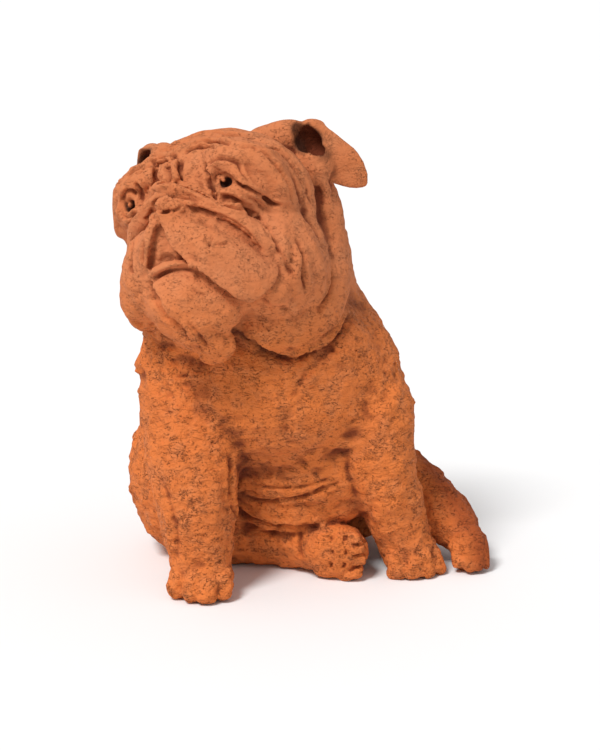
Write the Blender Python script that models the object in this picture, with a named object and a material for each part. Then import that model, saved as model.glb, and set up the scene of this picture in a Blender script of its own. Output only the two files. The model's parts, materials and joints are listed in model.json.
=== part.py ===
"""Garden statue of a seated bulldog, modelled by hand in terracotta and fired in one piece.

The forms are laid down as a modeller lays clay: large masses first, blended together,
then legs, paws, ears and rolls of skin on top, and last the hollows pressed in.
"""
import bmesh
import bpy
from math import radians
from mathutils import Matrix, Vector

# Driving size, in metres: ground to the top of the raised ear
STATUE_HEIGHT = 0.458

# Every proportion below is counted in parts of the height
PARTS_IN_HEIGHT = 458
PART = STATUE_HEIGHT / PARTS_IN_HEIGHT

# Fineness of the model, in parts
MASS_CELL = 5.0
MASS_SOFTENING = 26
FOLD_CELL = 3.0
FOLD_SOFTENING = 8
DETAIL_CELL = 2.0
DETAIL_SOFTENING = 2
TRIANGLE_LIMIT = 9600

# Clay sheet of the ears, and rolls of skin, in parts
EAR_SHEET = 7
ROPE = 11
BROW_ROLL = 20
BROW_FOLD = 19
JOWL_ROLL = 29

LEFT = 1
RIGHT = -1
RIGHT_CHEEK_SHARE = 0.98
RIGHT_BROW_DROP = 7


def facing(origin, yaw=0, pitch=0, roll=0):
    """Frame that looks along -Y from the origin, turned yaw degrees towards -X, then raised by pitch,
    with its left side lifted by roll."""
    turned = Matrix.Rotation(radians(-yaw), 4, "Z") @ Matrix.Rotation(radians(-pitch), 4, "X")
    return Matrix.Translation(origin) @ turned @ Matrix.Rotation(radians(-roll), 4, "Y")


BODY = facing((0, 0, 0))
HEAD = facing((-73, -48, 345), yaw=31, pitch=17, roll=16)


def mirrored(side, line):
    """The same line on either side of the head, whose right cheek is a little narrower."""
    across = side if side == LEFT else side * RIGHT_CHEEK_SHARE
    return [(across * left, forward, up) for left, forward, up in line]


def spot(left, forward, up):
    """Point given by its distances to the left, forward and up in a frame."""
    return Vector((left, -forward, up))


def egg(clay, frame, centre, radii):
    """Ellipsoid of clay."""
    shape = Matrix.Translation(spot(*centre)) @ Matrix.Diagonal((*radii, 1))
    bmesh.ops.create_icosphere(clay, subdivisions=4, radius=1, matrix=frame @ shape)


def limb(clay, frame, line, radii):
    """Round bar of clay along a smooth curve through the points, with its radius at each."""
    curve = bpy.data.curves.new("limb", "CURVE")
    curve.dimensions = "3D"
    curve.bevel_depth = 1
    curve.bevel_resolution = 5
    curve.resolution_u = 6
    curve.use_fill_caps = True
    spline = curve.splines.new("BEZIER")
    spline.bezier_points.add(len(line) - 1)
    for point, place, radius in zip(spline.bezier_points, line, radii):
        point.co = frame @ spot(*place)
        point.radius = radius
        point.handle_left_type = "AUTO"
        point.handle_right_type = "AUTO"
    bar = bpy.data.objects.new("limb", curve)
    mesh = bpy.data.meshes.new_from_object(bar)
    clay.from_mesh(mesh)
    bpy.data.objects.remove(bar)
    bpy.data.meshes.remove(mesh)
    for place, radius in ((line[0], radii[0]), (line[-1], radii[-1])):
        egg(clay, frame, place, (radius, radius, radius))


def sheet(clay, frame, rows, thickness):
    """Thin curved sheet of clay through rows of points from one edge to the other."""
    strip = bmesh.new()
    grid = [[strip.verts.new(frame @ spot(*place)) for place in row] for row in rows]
    for upper, lower in zip(grid, grid[1:]):
        for i in range(len(upper) - 1):
            strip.faces.new((upper[i], upper[i + 1], lower[i + 1], lower[i]))
    mesh = bpy.data.meshes.new("sheet")
    strip.to_mesh(mesh)
    strip.free()
    leaf = bpy.data.objects.new("sheet", mesh)
    bpy.context.collection.objects.link(leaf)
    rounding = leaf.modifiers.new("rounded outline", "SUBSURF")
    rounding.levels = 2
    rounding.render_levels = 2
    body = leaf.modifiers.new("thickness", "SOLIDIFY")
    body.thickness = thickness
    body.offset = 0
    solid = evaluated(leaf)
    clay.from_mesh(solid)
    bpy.data.objects.remove(leaf)
    bpy.data.meshes.remove(solid)


def trunk(clay):
    egg(clay, BODY, (-28, -20, 190), (124, 112, 118))
    egg(clay, BODY, (-22, 40, 205), (104, 70, 92))
    egg(clay, BODY, (-26, -4, 285), (82, 76, 66))
    egg(clay, BODY, (-30, -26, 240), (104, 82, 74))
    egg(clay, BODY, (-40, -62, 128), (112, 96, 116))
    egg(clay, BODY, (12, -2, 118), (92, 74, 74))
    egg(clay, BODY, (-30, -62, 60), (108, 92, 70))


def shoulders_and_haunches(clay):
    egg(clay, BODY, (-106, 25, 205), (54, 62, 78))
    egg(clay, BODY, (50, 10, 182), (54, 58, 80))
    egg(clay, BODY, (-98, -35, 84), (78, 86, 92))
    egg(clay, BODY, (38, -72, 80), (80, 78, 80))


def front_legs(clay):
    limb(clay, BODY, [(-108, 45, 175), (-105, 78, 120), (-100, 92, 70), (-96, 98, 26)], [52, 45, 38, 31])
    limb(clay, BODY, [(66, 35, 165), (77, 42, 120), (93, 38, 70), (105, 32, 26)], [48, 38, 31, 28])


def hind_legs(clay):
    """The left hind leg stretches to the side; the right one folds across under the belly."""
    limb(clay, BODY, [(70, -60, 76), (110, -44, 64), (141, -18, 47), (160, 4, 33)], [46, 37, 29, 25])
    limb(clay, BODY, [(-90, 10, 34), (-50, 8, 29), (0, 22, 26), (22, 42, 26)], [36, 29, 26, 24])


def skull(clay):
    egg(clay, HEAD, (0, -8, 27), (90, 92, 77))
    egg(clay, HEAD, (30, -70, -20), (62, 60, 70))
    egg(clay, HEAD, (0, 58, -20), (52, 46, 42))
    egg(clay, HEAD, (0, 60, -68), (56, 46, 34))
    for side in (LEFT, RIGHT):
        egg(clay, HEAD, (side * 58, 4, -36), (46, 62, 62))
        egg(clay, HEAD, (side * 46, 40, 40), (40, 34, 28))


def paw(clay, place, yaw, width, length, height):
    """Paw on the ground: a broad back, and four toes of which the middle two reach further."""
    frame = facing(place, yaw=yaw)
    egg(clay, frame, (0, length * 0.26, height * 0.52), (width * 0.46, length * 0.46, height * 0.60))
    for spread, reach in ((-0.38, 0.56), (-0.13, 0.70), (0.13, 0.70), (0.38, 0.56)):
        heel = (spread * width * 0.55, reach * length * 0.25, height * 0.62)
        knuckle = (spread * width * 0.9, reach * length * 0.78, height * 0.55)
        tip = (spread * width, reach * length, height * 0.24)
        limb(clay, frame, [heel, knuckle, tip], [width * 0.13, width * 0.15, width * 0.14])


def belly(clay):
    """Two soft rolls across the belly, between the front legs."""
    limb(clay, BODY, [(-60, 22, 110), (-15, 32, 104), (15, 36, 106), (46, 30, 112)], [32, 35, 35, 32])
    limb(clay, BODY, [(-56, 14, 76), (-15, 26, 70), (15, 30, 72), (46, 26, 80)], [26, 29, 29, 26])


def tail(clay):
    limb(clay, BODY, [(-50, -148, 62), (-56, -158, 46), (-54, -160, 30)], [15, 12, 9])


def paws(clay):
    paw(clay, (-92, -88, 0), 8, 60, 62, 42)
    paw(clay, (106, -24, 0), -20, 56, 54, 40)
    paw(clay, (168, -12, 0), -8, 40, 48, 40)
    egg(clay, BODY, (35, 54, 27), (32, 20, 27))


def jowls(clay, side):
    """Roll of skin from the ear down the cheek and round under the jaw, and the hanging upper lip."""
    line = [(72, -36, 62), (78, -48, 36), (77, -52, 8), (75, -52, -20), (75, -48, -46), (73, -38, -68),
            (63, -26, -83), (48, -8, -90), (30, 10, -88), (18, 20, -80)]
    shares = [0.5, 0.68, 0.83, 0.93, 0.97, 1.0, 1.0, 0.97, 0.90, 0.70]
    limb(clay, HEAD, mirrored(side, line), [JOWL_ROLL * share for share in shares])
    line = [(7, 100, -6), (22, 86, -24), (42, 76, -42), (60, 60, -58), (74, 42, -72)]
    limb(clay, HEAD, mirrored(side, line), [13, 22, 26, 24, 15])


def nose(clay):
    """Nose pad, and the thick roll of skin that arches over it and runs down both sides of the muzzle."""
    egg(clay, HEAD, (0, 102, 9), (21, 15, 13))
    line = [(0, 88, 30), (18, 84, 25), (40, 75, 8), (60, 66, -12), (75, 56, -31), (84, 46, -46)]
    for side in (LEFT, RIGHT):
        limb(clay, HEAD, mirrored(side, line), [ROPE, ROPE, ROPE, ROPE, ROPE - 1, ROPE - 3])


def brow(clay, side):
    """Heavy roll over the eye, and a fold of skin arching outside it."""
    drop = 0 if side == LEFT else RIGHT_BROW_DROP
    line = [(22, 62, 42), (46, 60, 54 - drop), (70, 50, 46 - drop), (81, 36, 24), (80, 20, 0)]
    shares = [0.60, 1.0, 1.0, 0.90, 0.60]
    limb(clay, HEAD, mirrored(side, line), [BROW_ROLL * share for share in shares])
    line = [(8, 54, 60), (28, 44, 68), (54, 34, 66 - drop), (73, 20, 54 - 1.5 * drop), (84, 4, 34 - drop), (84, -10, 8)]
    shares = [0.60, 0.90, 1.0, 0.95, 0.85, 0.60]
    limb(clay, HEAD, mirrored(side, line), [BROW_FOLD * share for share in shares])


def frown(clay):
    """Three short upright folds between the eyes."""
    for left in (-13, 0, 12):
        limb(clay, HEAD, [(left, 72, 58), (left, 78, 48), (left, 80, 38)], [6, 6.5, 5])


def chin(clay):
    egg(clay, HEAD, (0, 72, -64), (48, 32, 26))
    egg(clay, HEAD, (2, 62, -86), (44, 30, 24))
    limb(clay, HEAD, [(0, 58, -82), (3, 48, -98), (8, 44, -111)], [36, 30, 20])


def lower_lip(clay):
    limb(clay, HEAD, [(-28, 92, -57), (-14, 103, -52), (2, 107, -50), (18, 103, -52), (28, 94, -56)], [4, 4.5, 5, 4.5, 4])


def eyelids(clay, side):
    egg(clay, HEAD, (side * 54, 56, 26), (28, 22, 20))


def ear(clay, side):
    """Cupped ear that rises from the top of the head, with a flap that folds over and hangs outwards."""
    limb(clay, HEAD, [(side * 54, -4, 80), (side * 74, -14, 86), (side * 90, -22, 82)], [18, 16, 13])
    egg(clay, HEAD, (side * 91, -22, 71), (21, 20, 32))
    flap = [[(92, -8, 86), (100, -14, 94), (104, -26, 97)],
            [(101, -14, 74), (108, -20, 80), (110, -33, 82)],
            [(105, -26, 56), (115, -34, 63), (118, -47, 65)],
            [(109, -40, 40), (119, -46, 49), (124, -58, 52)],
            [(117, -56, 31), (121, -58, 35), (123, -62, 38)]]
    sheet(clay, HEAD, [mirrored(side, row) for row in flap], EAR_SHEET)


def hollows(clay):
    """What is pressed in: eye sockets, ears and the open mouth."""
    for side in (LEFT, RIGHT):
        egg(clay, HEAD, (side * 54, 80, 28), (10, 13, 7))
        egg(clay, HEAD, (side * 97, -8, 66), (12, 24, 27))
    limb(clay, HEAD, [(-16, 108, -42), (0, 116, -38), (16, 108, -42)], [5, 6, 5])


def form(name, *builders):
    """Object whose mesh holds the forms that the builders lay down."""
    clay = bmesh.new()
    for build in builders:
        build(clay)
    mesh = bpy.data.meshes.new(name)
    clay.to_mesh(mesh)
    clay.free()
    made = bpy.data.objects.new(name, mesh)
    bpy.context.collection.objects.link(made)
    return made


def blend(made, cell, softening):
    """Makes one closed skin of the overlapping forms and softens the seams between them."""
    remesh = made.modifiers.new("one skin", "REMESH")
    remesh.mode = "VOXEL"
    remesh.voxel_size = cell
    smooth = made.modifiers.new("softened seams", "SMOOTH")
    smooth.factor = 0.5
    smooth.iterations = softening


def evaluated(made):
    """Mesh of the object as its modifiers leave it."""
    graph = bpy.context.evaluated_depsgraph_get()
    return bpy.data.meshes.new_from_object(made.evaluated_get(graph))


def guide(made):
    made.display_type = "WIRE"
    made.hide_render = True
    return made


def carve(made, cutter, name):
    cutting = made.modifiers.new(name, "BOOLEAN")
    cutting.operation = "DIFFERENCE"
    cutting.solver = "EXACT"
    cutting.object = cutter


def folds(clay):
    belly(clay)
    tail(clay)
    chin(clay)
    for side in (LEFT, RIGHT):
        jowls(clay, side)
        brow(clay, side)
        eyelids(clay, side)


def details(clay):
    paws(clay)
    nose(clay)
    frown(clay)
    lower_lip(clay)
    for side in (LEFT, RIGHT):
        ear(clay, side)


def ground_block(clay):
    size = 2 * PARTS_IN_HEIGHT
    block = Matrix.Translation((0, 0, -size / 2)) @ Matrix.Scale(size, 4)
    bmesh.ops.create_cube(clay, size=1, matrix=block)


def terracotta():
    material = bpy.data.materials.new("terracotta")
    material.use_nodes = True
    shader = material.node_tree.nodes["Principled BSDF"]
    shader.inputs["Base Color"].default_value = (0.50, 0.17, 0.06, 1)
    shader.inputs["Roughness"].default_value = 0.85
    shader.inputs["Metallic"].default_value = 0
    return material


def built_up(name, base, builders, cell, softening):
    """Adds forms to the skin made so far, and makes them one skin with it."""
    made = form(name, lambda clay: clay.from_mesh(base), *builders)
    blend(made, cell, softening)
    return made


def statue():
    masses = form("masses", trunk, shoulders_and_haunches, front_legs, hind_legs, skull)
    blend(masses, MASS_CELL, MASS_SOFTENING)
    folded = built_up("folds", evaluated(guide(masses)), [folds], FOLD_CELL, FOLD_SOFTENING)
    dog = built_up("bulldog", evaluated(guide(folded)), [details], DETAIL_CELL, DETAIL_SOFTENING)
    carve(dog, guide(form("hollows", hollows)), "hollows")
    blend(dog, DETAIL_CELL, DETAIL_SOFTENING)
    thin = dog.modifiers.new("facets", "DECIMATE")
    thin.ratio = TRIANGLE_LIMIT / (2 * len(evaluated(dog).polygons))
    carve(dog, guide(form("ground", ground_block)), "flat underside")
    return dog


def standing(mesh):
    """Brings the model to its real size, standing on the ground with its bounding box centred on the axis."""
    mesh.transform(Matrix.Scale(PART, 4))
    xs = [vertex.co.x for vertex in mesh.vertices]
    ys = [vertex.co.y for vertex in mesh.vertices]
    middle = Vector(((min(xs) + max(xs)) / 2, (min(ys) + max(ys)) / 2, 0))
    mesh.transform(Matrix.Translation(-middle))
    return mesh


for old in list(bpy.data.objects):
    bpy.data.objects.remove(old)

bulldog = statue()
finished = standing(evaluated(bulldog))
bulldog.modifiers.clear()
bulldog.data = finished
finished.materials.append(terracotta())
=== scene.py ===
"""Looks of the terracotta bulldog: the hand-modelled skin with its creases, strokes and torn bits of clay.

The forms are the part's own, built the same way and at the same size, with finer detail pressed into them.
"""

import json
from math import cos, pi, radians, sin

import bmesh
import bpy
import numpy as np
from mathutils import Matrix, Vector, kdtree
from mathutils.bvhtree import BVHTree

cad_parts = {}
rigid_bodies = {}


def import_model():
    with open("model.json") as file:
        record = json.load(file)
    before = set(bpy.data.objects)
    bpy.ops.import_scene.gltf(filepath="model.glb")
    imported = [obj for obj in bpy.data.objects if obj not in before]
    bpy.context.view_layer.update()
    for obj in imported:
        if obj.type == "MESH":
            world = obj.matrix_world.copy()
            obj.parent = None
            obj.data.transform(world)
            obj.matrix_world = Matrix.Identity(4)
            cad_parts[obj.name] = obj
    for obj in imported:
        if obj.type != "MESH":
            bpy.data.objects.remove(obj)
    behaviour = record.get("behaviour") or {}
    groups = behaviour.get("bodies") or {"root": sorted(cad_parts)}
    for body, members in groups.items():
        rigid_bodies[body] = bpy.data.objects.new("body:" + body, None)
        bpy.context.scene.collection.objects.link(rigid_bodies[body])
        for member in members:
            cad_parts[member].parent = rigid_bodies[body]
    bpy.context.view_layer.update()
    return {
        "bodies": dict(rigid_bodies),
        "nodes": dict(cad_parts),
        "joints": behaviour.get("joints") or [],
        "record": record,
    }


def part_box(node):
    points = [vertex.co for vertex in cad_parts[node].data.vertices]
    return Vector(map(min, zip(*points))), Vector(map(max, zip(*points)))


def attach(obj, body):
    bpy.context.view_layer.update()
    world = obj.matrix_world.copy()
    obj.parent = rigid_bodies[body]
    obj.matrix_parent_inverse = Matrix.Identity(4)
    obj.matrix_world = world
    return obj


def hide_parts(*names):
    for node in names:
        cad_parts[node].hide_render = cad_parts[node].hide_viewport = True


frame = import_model()

# Every proportion is counted in parts of the statue's height
PARTS_IN_HEIGHT = 458
cad_low, cad_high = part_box("bulldog")
PART = (cad_high.z - cad_low.z) / PARTS_IN_HEIGHT

# Fineness of the clay, in parts
MASS_CELL = 5.0
MASS_SOFTENING = 26
FOLD_CELL = 3.0
FOLD_SOFTENING = 8
DETAIL_CELL = 1.5
DETAIL_SOFTENING = 2
EYE_CELL = 0.6
TRIANGLE_LIMIT = 190000

# Stretch before the walls of the part's box in which the skin's outermost bulges are eased back, in metres
EDGE_EASING = 0.005

# Share of a crease's named depth that is pressed in
CREASE_SHARE = 0.75

# Heights between which the body's rougher working gives way to the head's, in parts
NECK_LOW = 235
NECK_HIGH = 285

# Part of the head that counts as its face: this far forward, and not lower than this, in parts
FACE_FROM = 34
FACE_LOWEST = -112

# A line drawn onto the clay: the step between its points, how far from the clay they may be given and how far
# the clay is looked for, in parts, and the share of its length over which it fades at either end
LINE_STEP = 1.5
LINE_OFF = 50
LINE_REACH = 120
LINE_FADE = 0.2
LINE_FADE_POWER = 0.6

# Banks of clay beside a crease: their height as a share of its depth, and their distance and width as shares
# of its width
BANK_SHARE = 0.35
BANK_OFFSET = 1.9
BANK_WIDTH = 0.9

# Pellets pressed onto the clay, with their length and height in parts
PELLET_SEED = 3
PELLET_COUNT = 5600
PELLET_LENGTH = 9
PELLET_HEIGHT = 1.6

# Clay sheet of the ears, and rolls of skin, in parts
EAR_SHEET = 7
BROW_ROLL = 20
BROW_FOLD = 19
JOWL_ROLL = 29

LEFT = 1
RIGHT = -1
RIGHT_CHEEK_SHARE = 0.98
RIGHT_BROW_DROP = 7
RIGHT_EAR_LIFT = 13

# The right side's folds drop from this height in the head on, and wholly after this rise, in parts
DROP_FROM = 8
DROP_RISE = 30

# Where each eye sits in the head, to the left and up, with the radii of its socket and pupil
EYE_PLACES = {LEFT: (48, 31), RIGHT: (-57, 28.5)}
EYE_SOCKETS = {LEFT: (11, 10, 6.8), RIGHT: (12, 9, 11)}
PUPILS = {LEFT: (8.2, 12, 6.4), RIGHT: (9, 12, 8)}

# Hollow of the ear and recess under the jaw, as lines with their radii
EAR_HOLLOW = [(91, -5, 89), (93, -14, 76), (98, -22, 62), (100, -36, 50)]
EAR_HOLLOW_RADII = [8, 13, 10, 5]
JAW_RECESS = [(20, 40, -108), (25, 18, -110), (33, 0, -116)]
JAW_RECESS_RADII = [9, 10, 7]

# Colours of the clay, and the painted shade laid into its creases, hollows, unlit places, pits and cracks
BODY_CLAY = (0.70, 0.183, 0.040, 1)
HEAD_CLAY = (0.58, 0.190, 0.074, 1)
DULL_CLAY = (0.54, 0.140, 0.036, 1)
PALE_CLAY = (0.62, 0.235, 0.100, 1)
HIND_LEG_CLAY_AND_SHADE = (0.30, 0.055, 0.012, 1)
PAINTED_CREASE_SHADE = (0.18, 0.032, 0.009, 1)
PAINTED_HOLLOW_SHADE = (0.13, 0.022, 0.006, 1)
UNLIT_CLAY = (0.040, 0.011, 0.005, 1)
PAINTED_CRACK_SHADE = (0.23, 0.038, 0.010, 1)

# Studio: the floor's half width in metres and its grey, and the light
FLOOR_HALF = 12
FLOOR_GREY = (0.86, 0.86, 0.86, 1)
SKY_STRENGTH = 0.52
SUN_STRENGTH = 2.75
SUN_SPREAD_DEGREES = 18
SUN_WAY = Vector((0.45, 0.60, -1.0))

# Camera of the photograph's view, in parts and degrees; one pixel of its height shows one part
VIEW_HEIGHT_PX = 750
CAMERA_DISTANCE = 2200
CAMERA_ELEVATION = 14
CAMERA_AIM = Vector((-5.5, 0.2, 194.5))
SENSOR_MM = 36


def facing(origin, yaw=0, pitch=0, roll=0):
    """Frame that looks along -Y from the origin, turned yaw degrees towards -X, then raised by pitch,
    with its left side lifted by roll."""
    turned = Matrix.Rotation(radians(-yaw), 4, "Z") @ Matrix.Rotation(radians(-pitch), 4, "X")
    return Matrix.Translation(origin) @ turned @ Matrix.Rotation(radians(-roll), 4, "Y")


BODY = facing((0, 0, 0))
HEAD = facing((-73, -48, 345), yaw=31, pitch=17, roll=16)

# The way a line is looked at when it is drawn onto the clay, as shares left, forward and up
HEAD_LOOK = (-0.48, -0.87, 0.15)
BODY_LOOK = (0, -0.97, -0.24)


def mirrored(side, line):
    """The same line on either side of the head, whose right cheek is a little narrower."""
    across = side if side == LEFT else side * RIGHT_CHEEK_SHARE
    return [(across * left, forward, up) for left, forward, up in line]


def perked(side, line):
    """The same line on either ear, of which the right one is carried higher."""
    lift = 0 if side == LEFT else RIGHT_EAR_LIFT
    return [(left, forward, up + lift) for left, forward, up in mirrored(side, line)]


def spot(left, forward, up):
    """Point given by its distances to the left, forward and up in a frame."""
    return Vector((left, -forward, up))


def placed(name, data):
    """New object in the scene that holds the data."""
    made = bpy.data.objects.new(name, data)
    bpy.context.collection.objects.link(made)
    return made


def points_of(mesh):
    """Places of the mesh's points, one in each row."""
    flat = np.empty(len(mesh.vertices) * 3, np.float32)
    mesh.vertices.foreach_get("co", flat)
    return flat.reshape(-1, 3).astype(float)


def normals_of(mesh):
    """Directions in which the mesh's points face."""
    flat = np.empty(len(mesh.vertices) * 3, np.float32)
    mesh.vertex_normals.foreach_get("vector", flat)
    return flat.reshape(-1, 3).astype(float)


def move_points(mesh, points):
    mesh.vertices.foreach_set("co", points.astype(np.float32).ravel())
    mesh.update()


def from_head(points):
    """How far each point lies to the left, forward and up in the head's frame."""
    places = np.c_[points, np.ones(len(points))] @ np.array(HEAD.inverted()).T
    return places[:, 0], -places[:, 1], places[:, 2]


def keep_value(mesh, name, values):
    """Stores a value at each point, for the finish to read."""
    store = mesh.attributes.new(name, "FLOAT", "POINT")
    store.data.foreach_set("value", values.astype(np.float32))


def egg(clay, frame, centre, radii):
    """Ellipsoid of clay."""
    shape = Matrix.Translation(spot(*centre)) @ Matrix.Diagonal((*radii, 1))
    bmesh.ops.create_icosphere(clay, subdivisions=4, radius=1, matrix=frame @ shape)


def limb(clay, frame, line, radii):
    """Round bar of clay along a smooth curve through the points, with its radius at each."""
    curve = bpy.data.curves.new("limb", "CURVE")
    curve.dimensions = "3D"
    curve.bevel_depth = 1
    curve.bevel_resolution = 5
    curve.resolution_u = 6
    curve.use_fill_caps = True
    spline = curve.splines.new("BEZIER")
    spline.bezier_points.add(len(line) - 1)
    for point, place, radius in zip(spline.bezier_points, line, radii):
        point.co = frame @ spot(*place)
        point.radius = radius
        point.handle_left_type = "AUTO"
        point.handle_right_type = "AUTO"
    bar = bpy.data.objects.new("limb", curve)
    mesh = bpy.data.meshes.new_from_object(bar)
    clay.from_mesh(mesh)
    bpy.data.objects.remove(bar)
    bpy.data.meshes.remove(mesh)
    for place, radius in ((line[0], radii[0]), (line[-1], radii[-1])):
        egg(clay, frame, place, (radius, radius, radius))


def sheet(clay, frame, rows, thickness):
    """Thin curved sheet of clay through rows of points from one edge to the other."""
    strip = bmesh.new()
    grid = [[strip.verts.new(frame @ spot(*place)) for place in row] for row in rows]
    for upper, lower in zip(grid, grid[1:]):
        for i in range(len(upper) - 1):
            strip.faces.new((upper[i], upper[i + 1], lower[i + 1], lower[i]))
    mesh = bpy.data.meshes.new("sheet")
    strip.to_mesh(mesh)
    strip.free()
    leaf = placed("sheet", mesh)
    rounding = leaf.modifiers.new("rounded outline", "SUBSURF")
    rounding.levels = 2
    rounding.render_levels = 2
    body = leaf.modifiers.new("thickness", "SOLIDIFY")
    body.thickness = thickness
    body.offset = 0
    solid = evaluated(leaf)
    clay.from_mesh(solid)
    bpy.data.objects.remove(leaf)
    bpy.data.meshes.remove(solid)


def trunk(clay):
    egg(clay, BODY, (-28, -20, 190), (124, 112, 118))
    egg(clay, BODY, (-22, 40, 205), (104, 70, 92))
    egg(clay, BODY, (-26, -4, 285), (82, 76, 66))
    egg(clay, BODY, (-30, -26, 240), (104, 82, 74))
    egg(clay, BODY, (-40, -62, 128), (112, 96, 116))
    egg(clay, BODY, (12, -2, 118), (92, 74, 74))
    egg(clay, BODY, (-30, -62, 60), (108, 92, 70))


def shoulders_and_haunches(clay):
    egg(clay, BODY, (-106, 25, 205), (54, 62, 78))
    egg(clay, BODY, (50, 10, 182), (54, 58, 80))
    egg(clay, BODY, (-98, -35, 84), (78, 86, 92))
    egg(clay, BODY, (38, -72, 80), (80, 78, 80))


def front_legs(clay):
    limb(clay, BODY, [(-108, 45, 175), (-105, 78, 120), (-100, 92, 70), (-96, 98, 26)], [52, 45, 38, 31])
    limb(clay, BODY, [(66, 35, 165), (77, 42, 120), (93, 38, 70), (105, 32, 26)], [48, 38, 31, 28])


def hind_legs(clay):
    """The left hind leg stretches to the side; the right one folds across under the belly."""
    limb(clay, BODY, [(70, -60, 76), (110, -44, 64), (141, -18, 47), (160, 4, 33)], [46, 37, 29, 25])
    limb(clay, BODY, [(-90, 10, 34), (-50, 8, 29), (0, 22, 26), (22, 42, 26)], [36, 29, 26, 24])


def skull(clay):
    egg(clay, HEAD, (0, -8, 27), (90, 92, 77))
    egg(clay, HEAD, (30, -70, -20), (62, 60, 70))
    egg(clay, HEAD, (0, 58, -20), (52, 46, 42))
    egg(clay, HEAD, (0, 60, -68), (56, 46, 34))
    for side in (LEFT, RIGHT):
        egg(clay, HEAD, (side * 58, 4, -36), (46, 62, 62))
        egg(clay, HEAD, (side * 46, 40, 40), (40, 34, 28))


def paw(clay, place, yaw, width, length, height):
    """Paw on the ground: a broad back, and four toes of which the middle two reach further."""
    frame = facing(place, yaw=yaw)
    egg(clay, frame, (0, length * 0.26, height * 0.52), (width * 0.46, length * 0.46, height * 0.60))
    for spread, reach in ((-0.38, 0.56), (-0.13, 0.70), (0.13, 0.70), (0.38, 0.56)):
        heel = (spread * width * 0.55, reach * length * 0.25, height * 0.62)
        knuckle = (spread * width * 0.9, reach * length * 0.78, height * 0.55)
        tip = (spread * width, reach * length, height * 0.24)
        limb(clay, frame, [heel, knuckle, tip], [width * 0.13, width * 0.15, width * 0.14])


def sole(clay):
    """Turned-up sole of the folded leg: a ball with four toes along its outer edge."""
    egg(clay, BODY, (35, 54, 27), (32, 20, 27))
    for up in (9, 21, 33, 44):
        out = 59 - 0.012 * (up - 24) ** 2
        limb(clay, BODY, [(44, 62, up), (out, 65, up)], [7, 6.3])
    egg(clay, BODY, (22, 53, 54), (4, 4, 3.4))


def belly(clay):
    """Two soft rolls across the belly, between the front legs."""
    limb(clay, BODY, [(-60, 22, 110), (-15, 32, 104), (15, 36, 106), (46, 30, 112)], [32, 35, 35, 32])
    limb(clay, BODY, [(-56, 14, 76), (-15, 26, 70), (15, 30, 72), (46, 26, 80)], [26, 29, 29, 26])


def tail(clay):
    limb(clay, BODY, [(-50, -148, 62), (-56, -158, 46), (-54, -160, 30)], [15, 12, 9])


def paws(clay):
    paw(clay, (-92, -88, 0), 8, 60, 62, 42)
    paw(clay, (106, -24, 0), -20, 56, 54, 40)
    paw(clay, (168, -12, 0), -8, 40, 48, 40)
    sole(clay)


def jowls(clay, side):
    """Roll of skin from the ear down the cheek and round under the jaw, and the hanging upper lip."""
    line = [(72, -36, 62), (78, -48, 36), (77, -52, 8), (75, -52, -20), (75, -48, -46), (73, -38, -68),
            (63, -26, -83), (48, -8, -90), (30, 10, -88), (18, 20, -80)]
    shares = [0.5, 0.68, 0.83, 0.93, 0.97, 1.0, 1.0, 0.97, 0.90, 0.70]
    limb(clay, HEAD, mirrored(side, line), [JOWL_ROLL * share for share in shares])
    line = [(7, 100, -6), (22, 86, -24), (42, 76, -42), (60, 60, -58), (74, 42, -72)]
    limb(clay, HEAD, mirrored(side, line), [13, 22, 26, 24, 15])


def nose(clay):
    """Small curled nose pad, and the thick roll of skin that arches over it and runs down both sides."""
    limb(clay, HEAD, [(2, 100, 6), (12, 99, 6), (20, 95, 4)], [9, 8, 6])
    limb(clay, HEAD, [(14, 97, 2), (25, 90, 0), (38, 84, -7)], [8, 8, 7])
    limb(clay, HEAD, [(23, 101, 8), (15, 107, 10), (5, 110, 11)], [4.5, 5.5, 7])
    line = [(-1, 93, 29), (8, 91, 27), (21, 87, 21), (38, 81, 10), (53, 75, -2), (64, 69, -13), (73, 62, -25),
            (80, 55, -37)]
    limb(clay, HEAD, line, [9, 9, 9, 9, 8.5, 8, 7.5, 6])
    line = [(-1, 93, 29), (-11, 91, 28), (-20, 89, 22), (-34, 83, 15), (-50, 76, 1), (-64, 66, -18)]
    limb(clay, HEAD, line, [9, 8.5, 8, 7.5, 7, 5])


def brow(clay, side):
    """Heavy roll over the eye, and a fold of skin arching outside it."""
    drop = 0 if side == LEFT else RIGHT_BROW_DROP
    line = [(22, 62, 42), (46, 60, 54 - drop), (70, 50, 46 - drop), (81, 36, 24), (80, 20, 0)]
    shares = [0.60, 1.0, 1.0, 0.90, 0.60]
    limb(clay, HEAD, mirrored(side, line), [BROW_ROLL * share for share in shares])
    line = [(8, 54, 60), (28, 44, 68), (54, 34, 66 - drop), (73, 20, 54 - 1.5 * drop),
            (84, 4, 34 - drop), (84, -10, 8)]
    shares = [0.60, 0.90, 1.0, 0.95, 0.85, 0.60]
    limb(clay, HEAD, mirrored(side, line), [BROW_FOLD * share for share in shares])


def frown(clay):
    """Short upright folds between the eyes, under a level one, and the broad roll beside the left eye."""
    for radius, line in (
        (5.5, [(-36, 65, 64), (-31, 76, 52), (-29, 78, 42)]),
        (6.5, [(-13, 77, 58), (-12, 83, 47), (-3, 94, 36)]),
        (5, [(0, 78, 59), (1, 84, 48), (7, 95, 35)]),
        (10, [(14, 73, 50), (14, 74, 38), (23, 84, 25)]),
        (5, [(-41, 55, 74), (-26, 62, 70), (-9, 68, 67), (-1, 63, 73), (7, 60, 76), (24, 61, 71)]),
    ):
        tapered(clay, line, radius)


def tapered(clay, line, radius):
    """Roll of clay laid on the head, thinner towards its ends."""
    steps = len(line) - 1
    limb(clay, HEAD, line, [radius * (0.62 + 0.38 * sin(pi * step / steps)) for step in range(steps + 1)])


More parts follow.
